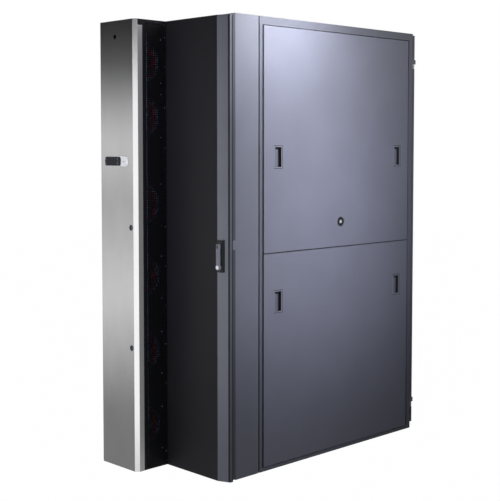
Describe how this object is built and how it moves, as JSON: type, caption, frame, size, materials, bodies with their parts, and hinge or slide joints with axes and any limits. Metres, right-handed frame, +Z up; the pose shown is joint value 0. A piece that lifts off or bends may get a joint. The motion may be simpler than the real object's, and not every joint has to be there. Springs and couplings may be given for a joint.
{
  "type": "rear door heat exchanger",
  "caption": "Tall server cabinet closed at the rear by a water cooled fan door: brushed steel service cover, perforated fan wall, swing handle, grey side panels.",
  "frame": {"origin": "on the floor under the middle of the whole product's box", "axes": "+Z up along the cabinet's height, -Y towards the cooling door at the rear, +X towards the door's latch side"},
  "size_m": [0.6424, 1.5102, 2.02],
  "materials": {
    "cabinet_powder_coat": "fine satin powder coat",
    "side_panel_powder_coat": "fine satin powder coat",
    "door_powder_coat": "fine satin powder coat",
    "black_powder_coat": "dark satin powder coat",
    "brushed_cover": "vertical brushed stainless steel",
    "zinc_plated": "zinc plated steel",
    "lock_zinc": "die cast, nickel plated",
    "latch_plastic": "grained black plastic",
    "grip_plastic": "dark grey plastic",
    "gasket": "foam rubber",
    "fan_ring": "blue grey moulded plastic",
    "fan_motor": "black moulded plastic",
    "impeller": "red moulded plastic",
    "fins": "bare aluminium fins",
    "copper": "copper tube",
    "fitting_brass": "turned brass",
    "box_plastic": "light grey plastic",
    "display_bezel": "pale grey plastic",
    "display_housing": "black plastic",
    "screen": "dark green liquid crystal",
    "buttons": "grey plastic"
  },
  "bodies": {
    "cabinet": {"base_frame": "cabinet_powder_coat", "levelling_feet": "zinc_plated", "corner_posts": "cabinet_powder_coat", "cross_members": "cabinet_powder_coat", "top_frame": "cabinet_powder_coat", "roof_panel": "cabinet_powder_coat", "mounting_rails": "zinc_plated", "upper_side_panel_right": "side_panel_powder_coat", "lower_side_panel_right": "side_panel_powder_coat", "upper_side_panel_left": "side_panel_powder_coat", "lower_side_panel_left": "side_panel_powder_coat", "latch_bezels": "latch_plastic", "transition_frame": "door_powder_coat", "door_hinge_brackets": "zinc_plated", "front_hinge_brackets": "zinc_plated"},
    "cooling_door": {"leaf_frame": "door_powder_coat", "door_gasket": "gasket", "side_housing": "black_powder_coat", "fan_plate": "black_powder_coat", "fan_rings": "fan_ring", "fan_motors": "fan_motor", "fan_grille": "black_powder_coat", "closing_panel": "black_powder_coat", "latch_strip": "door_powder_coat", "handle_escutcheon": "latch_plastic", "coil_casing": "zinc_plated", "coil_fin_pack": "fins", "supply_header": "copper", "return_header": "copper", "return_bends": "copper", "drip_tray": "fins", "water_couplings": "fitting_brass", "control_box": "box_plastic"},
    "service_cover": {"service_cover": "brushed_cover", "display_bezel": "display_bezel", "display_unit": "display_housing", "display_screen": "screen"},
    "cover_lock_lower": {"cover_lock_lower": "lock_zinc"},
    "cover_lock_upper": {"cover_lock_upper": "lock_zinc"},
    "display_button_1": {"display_button_1": "buttons"},
    "display_button_2": {"display_button_2": "buttons"},
    "display_button_3": {"display_button_3": "buttons"},
    "display_button_4": {"display_button_4": "buttons"},
    "fan_impeller_1": {"fan_impeller_1": "impeller"},
    "fan_impeller_2": {"fan_impeller_2": "impeller"},
    "fan_impeller_3": {"fan_impeller_3": "impeller"},
    "fan_impeller_4": {"fan_impeller_4": "impeller"},
    "fan_impeller_5": {"fan_impeller_5": "impeller"},
    "fan_impeller_6": {"fan_impeller_6": "impeller"},
    "handle_spindle": {"handle_spindle": "lock_zinc"},
    "handle_grip": {"handle_grip": "grip_plastic"},
    "grip_lock": {"grip_lock": "lock_zinc"},
    "front_door": {"front_door": "cabinet_powder_coat"},
    "front_door_handle": {"front_door_handle": "latch_plastic"},
    "panel_latches_upper_right": {"panel_latches_upper_right": "latch_plastic"},
    "panel_latches_lower_right": {"panel_latches_lower_right": "latch_plastic"},
    "panel_lock_right": {"panel_lock_right": "latch_plastic"},
    "panel_latches_upper_left": {"panel_latches_upper_left": "latch_plastic"},
    "panel_latches_lower_left": {"panel_latches_lower_left": "latch_plastic"},
    "panel_lock_left": {"panel_lock_left": "latch_plastic"}
  },
  "joints": [
    {"name": "cooling_door_hinge", "type": "hinge", "parent": "cabinet", "child": "cooling_door", "pos_m": [-0.314, -0.5269, 1], "axis": [0, 0, -1], "range_deg": [0, 110]},
    {"name": "service_cover_hinge", "type": "hinge", "parent": "cooling_door", "child": "service_cover", "pos_m": [-0.312, -0.7389, 1], "axis": [0, 0, -1], "range_deg": [0, 100]},
    {"name": "cover_lock_lower_turn", "type": "hinge", "parent": "service_cover", "child": "cover_lock_lower", "pos_m": [-0.105, -0.7469, 0.567], "axis": [0, 1, 0], "range_deg": [0, 90]},
    {"name": "cover_lock_upper_turn", "type": "hinge", "parent": "service_cover", "child": "cover_lock_upper", "pos_m": [-0.105, -0.7469, 1.101], "axis": [0, 1, 0], "range_deg": [0, 90]},
    {"name": "display_button_1_press", "type": "slide", "parent": "service_cover", "child": "display_button_1", "axis": [0, 1, 0], "range_m": [0, 0.001], "stiffness_N_per_m": 400},
    {"name": "display_button_2_press", "type": "slide", "parent": "service_cover", "child": "display_button_2", "axis": [0, 1, 0], "range_m": [0, 0.001], "stiffness_N_per_m": 400},
    {"name": "display_button_3_press", "type": "slide", "parent": "service_cover", "child": "display_button_3", "axis": [0, 1, 0], "range_m": [0, 0.001], "stiffness_N_per_m": 400},
    {"name": "display_button_4_press", "type": "slide", "parent": "service_cover", "child": "display_button_4", "axis": [0, 1, 0], "range_m": [0, 0.001], "stiffness_N_per_m": 400},
    {"name": "fan_impeller_1_spin", "type": "hinge", "parent": "cooling_door", "child": "fan_impeller_1", "pos_m": [-0.1665, -0.64815, 0.192], "axis": [1, 0, 0], "continuous": true},
    {"name": "fan_impeller_2_spin", "type": "hinge", "parent": "cooling_door", "child": "fan_impeller_2", "pos_m": [-0.1665, -0.64815, 0.534], "axis": [1, 0, 0], "continuous": true},
    {"name": "fan_impeller_3_spin", "type": "hinge", "parent": "cooling_door", "child": "fan_impeller_3", "pos_m": [-0.1665, -0.64815, 0.873], "axis": [1, 0, 0], "continuous": true},
    {"name": "fan_impeller_4_spin", "type": "hinge", "parent": "cooling_door", "child": "fan_impeller_4", "pos_m": [-0.1665, -0.64815, 1.198], "axis": [1, 0, 0], "continuous": true},
    {"name": "fan_impeller_5_spin", "type": "hinge", "parent": "cooling_door", "child": "fan_impeller_5", "pos_m": [-0.1665, -0.64815, 1.591], "axis": [1, 0, 0], "continuous": true},
    {"name": "fan_impeller_6_spin", "type": "hinge", "parent": "cooling_door", "child": "fan_impeller_6", "pos_m": [-0.1665, -0.64815, 1.832], "axis": [1, 0, 0], "continuous": true},
    {"name": "handle_spindle_turn", "type": "hinge", "parent": "cooling_door", "child": "handle_spindle", "pos_m": [0.281, -0.5579, 1.038], "axis": [0, -1, 0], "range_deg": [0, 90]},
    {"name": "handle_grip_lift", "type": "hinge", "parent": "handle_spindle", "child": "handle_grip", "pos_m": [0.281, -0.5809, 1.038], "axis": [-1, 0, 0], "range_deg": [0, 40]},
    {"name": "grip_lock_turn", "type": "hinge", "parent": "handle_grip", "child": "grip_lock", "pos_m": [0.281, -0.5809, 0.944], "axis": [0, 1, 0], "range_deg": [0, 90]},
    {"name": "front_door_hinge", "type": "hinge", "parent": "cabinet", "child": "front_door", "pos_m": [0.313, 0.7201, 1], "axis": [0, 0, -1], "range_deg": [0, 120]},
    {"name": "front_door_handle_turn", "type": "hinge", "parent": "front_door", "child": "front_door_handle", "pos_m": [-0.279, 0.7421, 1.05], "axis": [0, 1, 0], "range_deg": [0, 90]},
    {"name": "panel_latches_upper_right_slide", "type": "slide", "parent": "cabinet", "child": "panel_latches_upper_right", "axis": [0, 0, 1], "range_m": [0, 0.011]},
    {"name": "panel_latches_lower_right_slide", "type": "slide", "parent": "cabinet", "child": "panel_latches_lower_right", "axis": [0, 0, 1], "range_m": [0, 0.011]},
    {"name": "panel_lock_right_turn", "type": "hinge", "parent": "cabinet", "child": "panel_lock_right", "pos_m": [0.32, 0.1636, 1.105], "axis": [1, 0, 0], "range_deg": [0, 90]},
    {"name": "panel_latches_upper_left_slide", "type": "slide", "parent": "cabinet", "child": "panel_latches_upper_left", "axis": [0, 0, 1], "range_m": [0, 0.011]},
    {"name": "panel_latches_lower_left_slide", "type": "slide", "parent": "cabinet", "child": "panel_latches_lower_left", "axis": [0, 0, 1], "range_m": [0, 0.011]},
    {"name": "panel_lock_left_turn", "type": "hinge", "parent": "cabinet", "child": "panel_lock_left", "pos_m": [-0.32, 0.1636, 1.105], "axis": [-1, 0, 0], "range_deg": [0, 90]}
  ]
}
